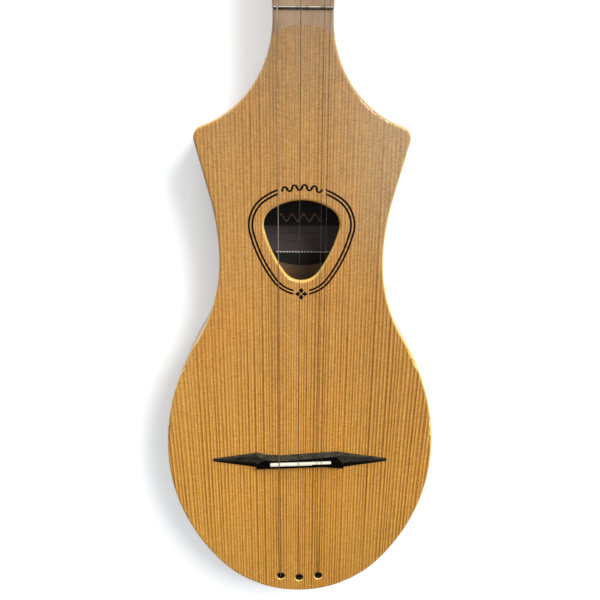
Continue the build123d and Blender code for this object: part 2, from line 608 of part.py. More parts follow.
def string_ball_ends():
    aside = dict(treble_inner=-BALL_SPREAD, treble_outer=BALL_SPREAD)
    middle_z = FERRULE_DEPTH - FERRULE_ROOF - BALL_LENGTH / 2
    balls = []
    for name in STRINGS:
        x, y = TAIL_HOLES[name.split("_")[0]]
        ball = fillet(Cylinder(BALL_R, BALL_LENGTH).edges(), BALL_ROUND)
        balls.append(Pos(x + aside.get(name, 0.0), y, middle_z) * ball)
    return balls


def string_bushings():
    """Black tubes that line the tail holes, flared where the strings come out."""
    low, high = TOP_Z - BUSHING_LENGTH, TOP_Z - TAIL_BEVEL
    tube = rod(BUSHING_R, low, high) - rod(BUSHING_BORE, low - 1, high + 1)
    mouth = tube.edges().group_by(Axis.Z)[-1].sort_by(SortBy.RADIUS)[0]
    tube = fillet(mouth, BUSHING_FLARE)
    return [spot * tube for spot in tail_spots()]


def back_ferrules():
    """Cups in the back for the strings' ball ends."""
    cup = rod(FERRULE_R, 0, FERRULE_DEPTH) - rod(FERRULE_CUP_R, -1, FERRULE_DEPTH - FERRULE_ROOF)
    cup -= rod(TAIL_BORE_R, 0, FERRULE_DEPTH + 1)
    return [spot * cup for spot in tail_spots()]


def string_winding(name):
    """The turns of a string round its post, as a stack of rings in one piece."""
    r = STRING_R[name]
    count = STRING_WRAPS[name]
    base = HEAD_THICK + WIND_Z - count * r
    inner, outer = WIND_R, WIND_R + r
    edges = [Line((inner, 0, base), (outer, 0, base))]
    for turn in range(count):
        z = base + 2 * r * turn
        edges.append(ThreePointArc((outer, 0, z), (outer + r, 0, z + r), (outer, 0, z + 2 * r)))
    top = base + 2 * r * count
    edges += [Line((outer, 0, top), (inner, 0, top)), Line((inner, 0, top), (inner, 0, base))]
    return revolve(make_face(Wire(edges)), Axis.Z)


# ---------------------------------------------------------------- tuning machine
def at_shaft(x):
    return Pos(x, WORM_Y, GEAR_Z) * Rot(0, 90, 0)


def tuner_housing():
    size = (2 * PLATE_HALF, PLATE_Y[1] - PLATE_Y[0])
    plate = Pos(0, sum(PLATE_Y) / 2) * RectangleRounded(*size, PLATE_CORNER)
    part = Pos(0, 0, -PLATE_T) * extrude(plate, PLATE_T)
    for side in (-1, 1):
        x = side * EAR_X
        web = box_between((x - EAR_T / 2, WORM_Y - EAR_R, GEAR_Z), (x + EAR_T / 2, WORM_Y + EAR_R, -PLATE_T))
        part += web + at_shaft(x) * Cylinder(EAR_R, EAR_T)
    part -= at_shaft(0) * Cylinder(SHAFT_R + RUN, 20)
    part -= rod(POST_R + RUN, -5, 5)
    for y in PLATE_SCREW_YS:
        part -= Pos(0, y) * rod(SCREW_R, -5, 5)
    return part


def worm_thread():
    """A right-handed thread of trapezoid section about the z axis."""
    root, tip = WORM_PITCH_R - TOOTH_DED - 0.05, WORM_PITCH_R + TOOTH_ADD
    at_root = TOOTH_W / 2 + TOOTH_SLOPE * TOOTH_DED
    at_tip = TOOTH_W / 2 - TOOTH_SLOPE * TOOTH_ADD
    length = WORM_TURNS * WORM_PITCH
    helix = Helix(pitch=WORM_PITCH, height=length, radius=WORM_PITCH_R)
    profile = make_face(Polyline(
        (root, 0, -at_root), (tip, 0, -at_tip), (tip, 0, at_tip), (root, 0, at_root), close=True,
    ))
    thread = sweep(profile, path=helix, is_frenet=True)
    return Pos(0, 0, -length / 2) * thread


def worm_shaft(side):
    collar_near = EAR_X + EAR_T / 2 + COLLAR_GAP
    collar_far = collar_near + COLLAR_W
    core = rod(WORM_PITCH_R - TOOTH_DED, -WORM_HALF, WORM_HALF) + worm_thread()
    core += rod(SHAFT_R, -collar_far, BUTTON_X + SHAFT_IN_BUTTON)
    core += rod(COLLAR_R, collar_near, collar_far) + rod(COLLAR_R, -collar_far, -collar_near)
    return Pos(0, WORM_Y, GEAR_Z) * Rot(0, 90 * side, 0) * core


def tuner_button(side):
    length, width, thick = BUTTON_SIZE
    disc = Pos(0, 0, -thick / 2) * extrude(Ellipse(length / 2, width / 2), thick)
    disc = fillet(disc.edges().filter_by(GeomType.ELLIPSE), thick / 2 - 0.4)
    collar = Pos(-length / 2, 0, 0) * Rot(0, 90, 0) * Cylinder(BUTTON_NECK_R, BUTTON_NECK_LENGTH)
    part = Pos(BUTTON_X + (length + BUTTON_NECK_LENGTH) / 2, WORM_Y, GEAR_Z) * (disc + collar)
    part -= at_shaft(BUTTON_X) * Cylinder(SHAFT_R, 2 * SHAFT_IN_BUTTON)
    return part if side > 0 else mirror(part, Plane.YZ)


def tuner_post():
    low, shoulder, top = GEAR_Z - GEAR_FACE / 2, GEAR_Z + GEAR_FACE / 2, HEAD_THICK + POST_TOP
    (narrowing, narrow), (widening, wide) = [[HEAD_THICK + z for z in cone] for cone in WAIST_CONES]
    profile = [
        (0, low), (GEAR_BORE, low), (GEAR_BORE, shoulder), (POST_R, shoulder),
        (POST_R, narrowing), (WIND_R, narrow), (WIND_R, widening), (POST_R, wide),
        (POST_R, top - POST_CHAMFER), (POST_R - POST_CHAMFER, top), (0, top),
    ]
    post = revolve(make_face(Polyline(*[(x, 0, z) for x, z in profile], close=True)), Axis.Z)
    return post - rod(GEAR_SCREW_R, low - 1, low + GEAR_SCREW_LENGTH + 0.2)


def post_gear():
    tip, root = GEAR_PITCH_R + TOOTH_ADD, GEAR_PITCH_R - TOOTH_DED
    at_root = TOOTH_W / 2 + TOOTH_SLOPE * TOOTH_DED
    at_tip = TOOTH_W / 2 - TOOTH_SLOPE * TOOTH_ADD
    buried = root - 0.3
    corners = [(buried, -at_root), (tip, -at_tip), (tip, at_tip), (buried, at_root)]
    tooth = make_face(Polyline(*corners, close=True))
    wheel = Circle(root)
    for index in range(GEAR_TEETH):
        wheel += Rot(0, 0, -90 + 360 * index / GEAR_TEETH) * tooth
    wheel -= Circle(GEAR_BORE)
    return Pos(0, 0, GEAR_Z - GEAR_FACE / 2) * extrude(wheel, GEAR_FACE)


def gear_screw():
    low = GEAR_Z - GEAR_FACE / 2
    head = fillet(rod(GEAR_HEAD_R, low - GEAR_HEAD_H, low).edges().group_by(Axis.Z)[0], GEAR_HEAD_H / 2)
    screw = head + rod(GEAR_SCREW_R, low - 0.2, low + GEAR_SCREW_LENGTH)
    return screw - Pos(0, 0, low - GEAR_HEAD_H) * Box(3 * GEAR_HEAD_R, 0.6, 1.0)


def post_bushing():
    sleeve = rod(POST_BUSH_R, HEAD_THICK - POST_BUSH_LENGTH, HEAD_THICK)
    flange = rod(POST_BUSH_FLANGE_R, HEAD_THICK, HEAD_THICK + POST_BUSH_FLANGE)
    flange = chamfer(flange.edges().group_by(Axis.Z)[-1], 0.4)
    return sleeve + flange - rod(POST_R + RUN, 0, HEAD_THICK + 5)


def plate_screws():
    screw = rod(SCREW_R, -PLATE_T, SCREW_LENGTH - PLATE_T)
    crown = -PLATE_T - SCREW_HEAD_H
    head = fillet(rod(SCREW_HEAD_R, crown, -PLATE_T).edges().group_by(Axis.Z)[0], 0.8 * SCREW_HEAD_H)
    cross = Pos(0, 0, crown) * (Box(*SCREW_CROSS) + Rot(0, 0, 90) * Box(*SCREW_CROSS))
    return [Pos(0, y) * (screw + head - cross) for y in PLATE_SCREW_YS]


def tuners():
    """Every tuning machine's parts, in place."""
    parts, screws = {}, []
    for name, (x, y) in POSTS.items():
        side = 1 if x > 0 else -1
        place = HEAD * Pos(x, y, -HEAD_THICK)
        pieces = dict(
            tuner_housing=tuner_housing(), worm_shaft=worm_shaft(side), tuner_button=tuner_button(side),
            tuner_post=tuner_post(), post_gear=post_gear(), gear_screw=gear_screw(),
            post_bushing=post_bushing(), string_winding=string_winding(name),
        )
        parts.update({f"{name}_{kind}": place * piece for kind, piece in pieces.items()})
        screws += [place * screw for screw in plate_screws()]
    parts["tuner_screws"] = screws
    return parts


# ---------------------------------------------------------------- assembly
def build():
    blank = neck_blank()
    dots = side_dots(blank)
    nodes = dict(
        body=body(), soundboard=soundboard(), cross_braces=braces(), bridge_plate=bridge_plate(),
        label=label(), rosette_rings=rosette_rings(), rosette_ornaments=rosette_ornaments(),
        neck=neck(blank, dots), side_dots=dots, nut=nut(), bridge=bridge(), saddle=saddle(),
        string_bushings=string_bushings(), back_ferrules=back_ferrules(), string_ball_ends=string_ball_ends(),
    )
    for number, y in enumerate(fret_ys(), start=1):
        nodes[f"fret_{number}"] = fret(y)
    for name in STRINGS:
        nodes[f"{name}_string"] = string(name)
    nodes.update(tuners())
    return nodes


def main():
    os.makedirs("parts", exist_ok=True)
    nodes = build()
    shift = Pos(0, -(nodes["neck"].bounding_box().max.Y + TAIL_Y) / 2, 0)
    for name, shape in nodes.items():
        solids = shape if isinstance(shape, list) else shape.solids()
        placed = Compound([shift * solid for solid in solids])
        export_step(placed, f"parts/{name}.step")


main()
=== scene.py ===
"""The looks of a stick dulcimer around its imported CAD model: wood, finishes, wire, studio and camera."""
import json
import math

import bpy
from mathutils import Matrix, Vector


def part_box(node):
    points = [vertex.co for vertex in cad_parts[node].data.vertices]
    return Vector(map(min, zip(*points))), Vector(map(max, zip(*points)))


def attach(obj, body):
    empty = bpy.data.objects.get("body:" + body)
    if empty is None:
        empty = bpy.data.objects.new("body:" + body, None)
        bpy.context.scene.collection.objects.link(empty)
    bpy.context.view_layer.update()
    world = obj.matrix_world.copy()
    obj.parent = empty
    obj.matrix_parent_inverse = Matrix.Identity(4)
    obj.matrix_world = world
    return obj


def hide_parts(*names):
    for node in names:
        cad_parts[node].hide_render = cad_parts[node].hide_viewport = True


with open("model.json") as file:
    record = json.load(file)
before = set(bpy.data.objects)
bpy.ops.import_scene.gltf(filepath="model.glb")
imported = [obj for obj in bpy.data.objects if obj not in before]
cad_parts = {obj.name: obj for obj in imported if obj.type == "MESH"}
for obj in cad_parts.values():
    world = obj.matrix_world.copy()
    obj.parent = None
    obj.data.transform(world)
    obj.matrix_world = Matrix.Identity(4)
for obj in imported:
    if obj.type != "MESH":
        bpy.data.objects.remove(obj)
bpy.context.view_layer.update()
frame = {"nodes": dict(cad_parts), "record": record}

MM = 0.001
SCALE_LENGTH = 600 * MM
SADDLE_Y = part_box("nut")[0][1] - SCALE_LENGTH       # the line that the strings' length is measured from
TOP_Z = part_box("soundboard")[1][2]

# The windings: wire radius and turns of each string, on the waist of its post.
STRINGS = ["bass", "middle", "treble_inner", "treble_outer"]
WIRE_R = dict(bass=0.29 * MM, middle=0.19 * MM, treble_inner=0.15 * MM, treble_outer=0.15 * MM)
TURNS = dict(bass=2, middle=3, treble_inner=4, treble_outer=4)
POST_WAIST_R = 2.5 * MM
STEPS_PER_TURN, WIRE_CORNERS = 32, 10
WINDING_PITCH = 0.16 * MM                           # of the low string's wire round its core

# Stretches of the soundboard where its looks change: from its middle to a side, and then
# from the saddle towards the headstock.
LEFT = (-75 * MM, -15 * MM)
RIGHT = (0.0, 65 * MM)
RIGHT_SHOULDER = (5 * MM, 70 * MM)
TAIL = (-115 * MM, -20 * MM)
LOWER_TO_UPPER = (-60 * MM, 270 * MM)
SHOULDERS = (120 * MM, 190 * MM)
FLARE_EDGES = (190 * MM, 260 * MM)
FLARE = (215 * MM, 310 * MM)
HOLE_MIDDLE = 167 * MM
HOLE_RIM = (24 * MM, 27 * MM)                       # past the rim, from the sound hole's middle

# Growth rings. They close in towards the tail, from FAN_START on, most of all at the board's sides.
RING_SPACING, RING_WIDENING = 1.75 * MM, 0.0135
RING_SWAY, RING_JITTER = 2.0 * MM, 1.6
FAN_START, FAN_HALF_WIDTH, FAN = 70 * MM, 85 * MM, 0.4
# How dark a ring is, from its early wood to its late wood and back.
RING_PROFILE = ((0.0, 0.0), (0.2, 0.08), (0.46, 0.6), (0.66, 1.0), (0.87, 0.95), (1.0, 0.0))

# The label's ornament, dashes and ruled lines.
CROWN_Y, CROWN_WAVE, CROWN_HEIGHT = 7.5 * MM, 8 * MM, 2.4 * MM
DASH, RULE_PITCH = 1.1 * MM, 3.2 * MM

FLOOR_REACH, FLOOR_GAP = 40.0, 0.5 * MM
SKY_BEHIND_FLOOR = 0.95
CAMERA_PLACE = (-7.3 * MM, SADDLE_Y + 246.4 * MM, TOP_Z + 382.3 * MM)
CAMERA_TURN = (-18.0, -0.86, 0.35)                  # in degrees, from looking straight down
CAMERA_LENS = 36.0


# ---------------------------------------------------------------- node helpers
class Finish:
    """A Principled material and short calls that add nodes to it. Values are numbers, tuples or sockets."""

    def __init__(self, name, **settings):
        self.material = bpy.data.materials.new(name)
        self.material.use_nodes = True
        self.tree = self.material.node_tree
        self.shader = self.tree.nodes["Principled BSDF"]
        self.set(**settings)

    def set(self, **settings):
        for name, value in settings.items():
            self.put(self.shader.inputs[name.replace("_", " ")], value)

    def put(self, socket, value):
        if isinstance(value, bpy.types.NodeSocket):
            self.tree.links.new(value, socket)
        else:
            socket.default_value = value

    def add(self, kind, values, **properties):
        node = self.tree.nodes.new("ShaderNode" + kind)
        for name, value in properties.items():
            setattr(node, name, value)
        for key, value in values.items():
            self.put(node.inputs[key], value)
        return node.outputs[0]

    def place(self):
        """Coordinates on the object, in metres, which don't move when a joint does."""
        return self.tree.nodes.new("ShaderNodeTexCoord").outputs["Object"]

    def normal(self):
        """Which way the surface faces, without its bumps."""
        return self.tree.nodes.new("ShaderNodeNewGeometry").outputs["True Normal"]

    def split(self, vector):
        node = self.tree.nodes.new("ShaderNodeSeparateXYZ")
        self.put(node.inputs[0], vector)
        return node.outputs

    def math(self, operation, a, b=0.0, c=0.0):
        return self.add("Math", {0: a, 1: b, 2: c}, operation=operation)

    def join(self, x, y, z):
        return self.add("CombineXYZ", {0: x, 1: y, 2: z})

    def noise(self, vector, scale, detail=2.0, roughness=0.5):
        values = {"Vector": vector, "Scale": scale, "Detail": detail, "Roughness": roughness}
        return self.add("TexNoise", values)

    def streaks(self, vector, per_metre, detail=2.0, roughness=0.5):
        """Noise with its own scale along each axis."""
        stretched = self.add("VectorMath", {0: vector, 1: per_metre}, operation="MULTIPLY")
        return self.noise(stretched, 1.0, detail, roughness)

    def random(self, value):
        """A random number for each whole number."""
        return self.add("TexWhiteNoise", {"W": value}, noise_dimensions="1D")

    def span(self, value, low, high, to_low=0.0, to_high=1.0):
        """A smooth change from one value to another."""
        values = {0: value, 1: low, 2: high, 3: to_low, 4: to_high}
        return self.add("MapRange", values, interpolation_type="SMOOTHSTEP")

    def stretch(self, y, ends, to_low=0.0, to_high=1.0):
        """A smooth change along the soundboard, between two distances from the saddle."""
        low, high = ends
        return self.span(y, SADDLE_Y + low, SADDLE_Y + high, to_low, to_high)

    def profile(self, value, stops):
        """A number that follows a list of (place, level) stops, eased between them."""
        node = self.tree.nodes.new("ShaderNodeValToRGB")
        self.put(node.inputs[0], value)
        node.color_ramp.interpolation = "EASE"
        elements = node.color_ramp.elements
        while len(elements) < len(stops):
            elements.new(0.5)
        for element, (place, level) in zip(elements, stops):
            element.position = place
            element.color = (level, level, level, 1)
        return node.outputs[0]

    def mix(self, share, a, b, blend="MIX"):
        node = self.tree.nodes.new("ShaderNodeMix")
        node.data_type = "RGBA"
        node.blend_type = blend
        for index, value in ((0, share), (6, a), (7, b)):
            self.put(node.inputs[index], value)
        return node.outputs[2]

    def shaded(self, color, factor):
        """A colour times a number."""
        return self.mix(1.0, color, self.join(factor, factor, factor), "MULTIPLY")

    def bump(self, height, distance, strength):
        normal = self.add("Bump", {"Height": height, "Distance": distance, "Strength": strength})
        self.set(Normal=normal)


def srgb(red, green, blue):
    """A colour from its 0 to 255 screen values."""
    def linear(value):
        share = value / 255
        return share / 12.92 if share <= 0.04045 else ((share + 0.055) / 1.055) ** 2.4
    return (linear(red), linear(green), linear(blue), 1.0)


# ---------------------------------------------------------------- woods
def grain_rings(f, place, x, y):
    """A count of growth rings, which run along y: closest in the middle, and closing in towards the tail."""
    below = f.math("MINIMUM", f.math("SUBTRACT", y, SADDLE_Y + FAN_START), 0.0)
    aside = f.math("POWER", f.math("ABSOLUTE", f.math("MULTIPLY", x, 1 / FAN_HALF_WIDTH)), 3.0)
    squeeze = f.math("MULTIPLY_ADD", f.math("MULTIPLY", below, aside), -FAN, 1.0)
    sway = f.streaks(place, (9.0, 2.2, 9.0), detail=1.0)
    across = f.math("MULTIPLY_ADD", sway, RING_SWAY, f.math("MULTIPLY", x, squeeze))
    off_middle = f.math("ABSOLUTE", across)
    grown = f.math("MULTIPLY_ADD", off_middle, RING_WIDENING / RING_SPACING, 1.0)
    rings = f.math("DIVIDE", f.math("LOGARITHM", grown, math.e), RING_WIDENING)
    count = f.math("MULTIPLY", rings, f.math("SIGN", across))
    jitter = f.noise(f.join(f.math("MULTIPLY", count, 0.35), 0.0, 0.0), 1.0)
    return f.math("MULTIPLY_ADD", jitter, RING_JITTER, count)


def ring_darkness(f, place, x, y):
    """How much late wood shows, up to about 1: calmer at the left and at the tail."""
    rings = grain_rings(f, place, x, y)
    line = f.profile(f.math("FRACT", rings), RING_PROFILE)
    strength = f.math("MULTIPLY_ADD", f.random(f.math("FLOOR", rings)), 0.42, 0.76)
    fade = f.span(f.streaks(place, (30.0, 7.0, 30.0), detail=3.0), 0.3, 0.7, 0.72, 1.0)
    calm = f.math("MULTIPLY", f.span(x, *LEFT, 0.76, 1.0), f.stretch(y, TAIL, 0.8, 1.0))
    return f.math("MULTIPLY", f.math("MULTIPLY", line, strength), f.math("MULTIPLY", fade, calm))


def painted_edge_light(f, x, y):
    """Painted highlight and painted shade on the board's rounded edges: light where they face the lamp, dark
    where they face away and less dark round the sound hole; and how much of it shows.
    """
    east, north, up = f.split(f.normal())
    off_hole = f.math("ABSOLUTE", f.math("SUBTRACT", y, SADDLE_Y + HOLE_MIDDLE))
    beside = f.span(f.math("ABSOLUTE", x), *HOLE_RIM, 1.0, 0.0)
    at_hole = f.math("MULTIPLY", f.span(off_hole, *HOLE_RIM, 1.0, 0.0), beside)
    # Painted shade on edges that face away from the lamp, less dark round the sound hole; painted highlight
    # on those that face it.
    unlit = f.mix(at_hole, srgb(128, 82, 28), srgb(222, 166, 82))
    lit = f.span(f.math("MULTIPLY_ADD", east, 0.35, north), -0.4, 0.35)
    color = f.mix(lit, unlit, srgb(246, 206, 108))
    rounding = f.span(up, 0.7, 0.985, 0.85, 0.0)
    return color, f.math("MULTIPLY", rounding, f.stretch(y, FLARE_EDGES, 1.0, 0.3))


def spruce(name, flare_tints, upper_tints, lower_tints):
    """Ringed wood with a pair of tints, early and late wood, for each of three parts of the board."""
    f = Finish(name, Roughness=0.45, Coat_Weight=0.7, Coat_Roughness=0.14, IOR=1.45, Specular_IOR_Level=0.2)
    place = f.place()
    x, y, _ = f.split(place)
    dark = ring_darkness(f, place, x, y)
    fibre = f.streaks(place, (2600.0, 70.0, 2600.0), detail=3.0, roughness=0.6)
    silk = f.streaks(place, (420.0, 1100.0, 420.0))
    cloud = f.streaks(place, (24.0, 9.0, 24.0))
    # The tints turn darker and greyer towards the headstock: partly the wood's own tone and partly painted
    # shade, where the light falls off.
    upper = f.stretch(y, LOWER_TO_UPPER)
    flare = f.stretch(y, FLARE)
    early, late = (
        f.mix(flare, f.mix(upper, srgb(*low), srgb(*high)), srgb(*top))
        for low, high, top in zip(lower_tints, upper_tints, flare_tints))
    wood = f.mix(dark, early, late)
    warm = f.mix(f.span(cloud, 0.45, 0.75, 0.0, 0.24), wood, srgb(206, 130, 46))
    # Painted sheen: a pale grey haze over the right shoulder, in place of the lacquer's reflection of the
    # room to the right.
    shoulder_sheen_share = f.math("MULTIPLY", f.span(x, *RIGHT_SHOULDER), f.stretch(y, SHOULDERS))
    painted_sheen = f.mix(f.math("MULTIPLY", shoulder_sheen_share, 0.3), warm, srgb(180, 166, 138))
    fine = f.math("MULTIPLY_ADD", f.math("SUBTRACT", fibre, 0.5), 0.9, 1.0)
    flecks = f.math("MULTIPLY_ADD", f.math("SUBTRACT", silk, 0.5), 0.8, fine)
    # Painted shade: a little darker at the left, darker at the right and towards the tail. The flecks are
    # the wood's own.
    sides = f.math("MULTIPLY", f.span(x, *LEFT, 0.95, 1.0), f.span(x, *RIGHT, 1.0, 0.88))
    flecks_and_painted_shade = f.math("MULTIPLY", flecks, f.math("MULTIPLY", sides, f.stretch(y, TAIL, 0.85, 1.0)))
    # Painted highlight and painted shade on the rounded edges, with less of it at the flare.
    edge, edge_share = painted_edge_light(f, x, y)
    f.set(Base_Color=f.mix(edge_share, f.shaded(painted_sheen, flecks_and_painted_shade), edge))
    f.set(Roughness=f.math("MULTIPLY_ADD", dark, 0.10, 0.38))
    relief = f.math("ADD", f.math("MULTIPLY", dark, 0.7), f.math("MULTIPLY", fibre, 0.5))
    f.bump(relief, 0.04 * MM, 0.5)
    return f.material


def maple(name, light, deep):
    """Figured wood with curl and dark pores, with painted shade on the floor of the hollow."""
    f = Finish(name, Roughness=0.45, Coat_Weight=0.5, Coat_Roughness=0.2, IOR=1.45, Specular_IOR_Level=0.3)
    place = f.place()
    bent = f.streaks(place, (14.0, 4.0, 14.0))
    x, y, z = f.split(place)
    across = f.math("ADD", f.math("MULTIPLY", x, 60.0), f.math("MULTIPLY", z, 95.0))
    ripple = f.math("MULTIPLY_ADD", bent, 5.5, across)
    figure = f.noise(f.join(ripple, f.math("MULTIPLY", y, 2.0), 0.0), 1.0, detail=4.0, roughness=0.55)
    curl = f.streaks(place, (18.0, 120.0, 18.0), detail=1.0)
    pores = f.streaks(place, (2200.0, 190.0, 2200.0))
    shine, pore = [c + 18 for c in light], [c - 38 for c in deep]
    wood = f.mix(f.span(figure, 0.3, 0.72), srgb(*light), srgb(*deep))
    curled = f.mix(f.span(curl, 0.35, 0.65, 0.0, 0.20), wood, srgb(*shine))
    finished = f.mix(f.span(pores, 0.60, 0.75, 0.0, 0.55), curled, srgb(*pore))
    up = f.split(f.normal())[2]
    # Painted shade: upward faces low in the hollow are darkened halfway towards dark brown.
    painted_hollow_shade = f.math("MULTIPLY", f.span(up, 0.4, 0.6), f.span(z, 8 * MM, 10 * MM, 1.0, 0.0))
    f.set(Base_Color=f.mix(painted_hollow_shade, finished, f.mix(0.5, finished, srgb(70, 48, 30))))
    f.set(Roughness=f.math("MULTIPLY_ADD", figure, 0.12, 0.38))
    f.bump(f.math("MULTIPLY_ADD", pores, -0.6, figure), 0.04 * MM, 0.4)
    return f.material


def black_wood():
    """The bridge: dyed hardwood with fine straight grain, with painted light in grey specks where it faces
    the hole.
    """
    f = Finish("bridge_black", Roughness=0.4, IOR=1.45, Specular_IOR_Level=0.02)
    place = f.place()
    grain = f.streaks(place, (45.0, 1100.0, 1100.0), detail=4.0, roughness=0.65)
    blotch = f.noise(place, 160.0)
    speck = f.span(f.noise(place, 1500.0), 0.42, 0.66, 0.15, 0.75)
    north = f.span(f.split(f.normal())[1], 0.1, 0.6)
    color = f.mix(f.span(grain, 0.35, 0.8), srgb(6, 6, 6), srgb(22, 21, 20))
    # Painted light: grey specks on the faces that turn towards the hole and the lamps beyond it.
    painted_north_light = f.mix(f.math("MULTIPLY", speck, north), color, srgb(104, 102, 88))
    f.set(Base_Color=f.mix(f.span(blotch, 0.4, 0.7, 0.0, 0.4), painted_north_light, srgb(10, 10, 12)))
    f.set(Roughness=f.math("MULTIPLY_ADD", grain, 0.2, 0.22))
    f.bump(grain, 0.05 * MM, 0.5)
    return f.material


# ---------------------------------------------------------------- plastics, metals and paper
def plain_finish(name, light, dark, rough, scale, **settings):
    """A colour that drifts between two close shades, with fine unevenness in gloss and surface."""
    f = Finish(name, **settings)
    place = f.place()
    drift = f.noise(place, scale, detail=4.0, roughness=0.6)
    fine = f.noise(place, scale * 22)
    f.set(Base_Color=f.mix(f.span(drift, 0.3, 0.7), srgb(*light), srgb(*dark)))
    f.set(Roughness=f.math("MULTIPLY_ADD", drift, 0.16, rough - 0.08))
    f.bump(f.math("MULTIPLY_ADD", fine, 0.4, drift), 0.01 * MM, 0.4)
    return f.material


def brushed_metal(name, light, dark, rough, along):
    """Metal with fine lines along one axis and faint tarnish."""
    f = Finish(name, Metallic=1.0)
    place = f.place()
    per_metre = tuple(60.0 if axis == along else 2400.0 for axis in "xyz")
    lines = f.streaks(place, per_metre, detail=3.0, roughness=0.6)
    tarnish = f.noise(place, 210.0, detail=3.0)
    f.set(Base_Color=f.mix(f.span(tarnish, 0.4, 0.7), srgb(*light), srgb(*dark)))
    f.set(Roughness=f.math("MULTIPLY_ADD", lines, 0.22, rough - 0.08))
    f.bump(lines, 0.01 * MM, 0.35)
    return f.material


def wound_wire():
    """Close winding round a core: fine rings across the string."""
    f = Finish("wound_wire", Metallic=1.0)
    place = f.place()
    along = f.split(place)[1]
    turn = f.math("PINGPONG", f.math("MULTIPLY", along, 1 / WINDING_PITCH), 1.0)
    tarnish = f.noise(place, 45.0)
    f.set(Base_Color=f.mix(f.span(tarnish, 0.35, 0.7), srgb(178, 160, 132), srgb(128, 110, 86)))
    f.set(Roughness=f.math("MULTIPLY_ADD", tarnish, 0.2, 0.2))
    f.bump(turn, 0.05 * MM, 0.8)
    return f.material


def label_print():
    """Black paper with a grey ruled band, a dashed rule under it and a plain wavy ornament above it."""
    f = Finish("label_print", Roughness=0.75)
    place = f.place()
    x, y, _ = f.split(place)
    off_middle = f.math("ABSOLUTE", x)
    low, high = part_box("label")
    up = f.math("SUBTRACT", y, (low[1] + high[1]) / 2)
    fibres = f.noise(place, 900.0, detail=3.0)

    def between(value, lowest, highest, soft=0.25):
        """1 between two places, which are in mm, and 0 outside them."""
        rise = f.span(value, (lowest - soft) * MM, (lowest + soft) * MM)
        fall = f.span(value, (highest - soft) * MM, (highest + soft) * MM, 1.0, 0.0)
        return f.math("MULTIPLY", rise, fall)

    def repeat(value, pitch):
        """Up from 0 to 1 over one pitch, and down again over the next."""
        return f.math("PINGPONG", f.math("MULTIPLY", value, 1 / pitch), 1.0)

    band = f.mix(between(up, -16.5, 1.8, 0.8), srgb(24, 19, 18), srgb(84, 73, 74))
    rules = f.math("MULTIPLY", f.span(repeat(up, RULE_PITCH), 0.86, 0.94), between(up, -13.0, -3.0))
    short_rules = f.math("MULTIPLY", rules, f.span(off_middle, 13 * MM, 13.5 * MM, 0.6, 0.0))
    crown = f.math("MULTIPLY", f.math("SINE", f.math("MULTIPLY", x, math.tau / CROWN_WAVE)), CROWN_HEIGHT)
    off_crown = f.math("ABSOLUTE", f.math("SUBTRACT", f.math("SUBTRACT", up, CROWN_Y), crown))
    within = f.span(off_middle, 14 * MM, 15 * MM, 1.0, 0.0)
    ornament = f.math("MULTIPLY", f.span(off_crown, 0.45 * MM, 0.8 * MM, 1.0, 0.0), within)
    line = f.math("MULTIPLY", between(up, -17.6, -16.7, 0.1), between(x, -18, 21))
    dashes = f.math("MULTIPLY", line, f.span(repeat(x, DASH), 0.2, 0.35))
    printed = f.mix(short_rules, band, srgb(44, 36, 36))
    printed = f.mix(ornament, printed, srgb(150, 108, 76))
    printed = f.mix(dashes, printed, srgb(235, 230, 225))
    f.set(Base_Color=f.shaded(printed, f.math("MULTIPLY_ADD", fibres, 0.4, 0.8)))
    f.bump(fibres, 0.03 * MM, 0.4)
    return f.material


def finishes():
    """One material for each of the record's slots."""
    bare = ((214, 176, 122), (168, 122, 72))
    flare = ((162, 131, 90), (144, 110, 68))
    upper = ((192, 147, 88), (160, 110, 52))
    lower = ((229, 170, 78), (138, 78, 0))
    return dict(
        spruce=spruce("spruce", flare, upper, lower),
        inner_spruce=spruce("inner_spruce", bare, bare, bare),
        maple=maple("maple", (164, 135, 106), (132, 103, 76)),
        label_paper=label_print(),
        bridge_black=black_wood(),
        ring_ink=plain_finish("ring_ink", (4, 3, 3), (10, 7, 6), 0.5, 300.0, Specular_IOR_Level=0.1),
        bone_white=plain_finish("bone_white", (238, 234, 218), (226, 216, 190), 0.30, 260.0,
                                Coat_Weight=0.2, Subsurface_Weight=0.05),
        black_plastic=plain_finish("black_plastic", (7, 7, 8), (16, 15, 15), 0.35, 240.0,
                                   Specular_IOR_Level=0.3),
        button_black=plain_finish("button_black", (12, 12, 13), (24, 23, 24), 0.24, 150.0, Coat_Weight=0.4),
        nickel_silver=brushed_metal("fret_wire", (150, 144, 130), (112, 106, 94), 0.2, "x"),
        nickel_plate=brushed_metal("nickel_plate", (205, 203, 198), (176, 172, 164), 0.26, "x"),
        gear_brass=brushed_metal("gear_brass", (206, 168, 92), (170, 130, 62), 0.32, "z"),
        string_steel=brushed_metal("plain_wire", (104, 97, 90), (68, 60, 54), 0.3, "y"),
        string_wound=wound_wire(),
    )


def dress():
    """Gives every CAD node the finish of its slot, and returns the finishes."""
    looks = finishes()
    for part in frame["record"]["subparts"]:
        node = frame["nodes"][part["node"]]
        look = looks[part["material_slot"]]
        for slot in node.material_slots:
            slot.material = look
    return looks


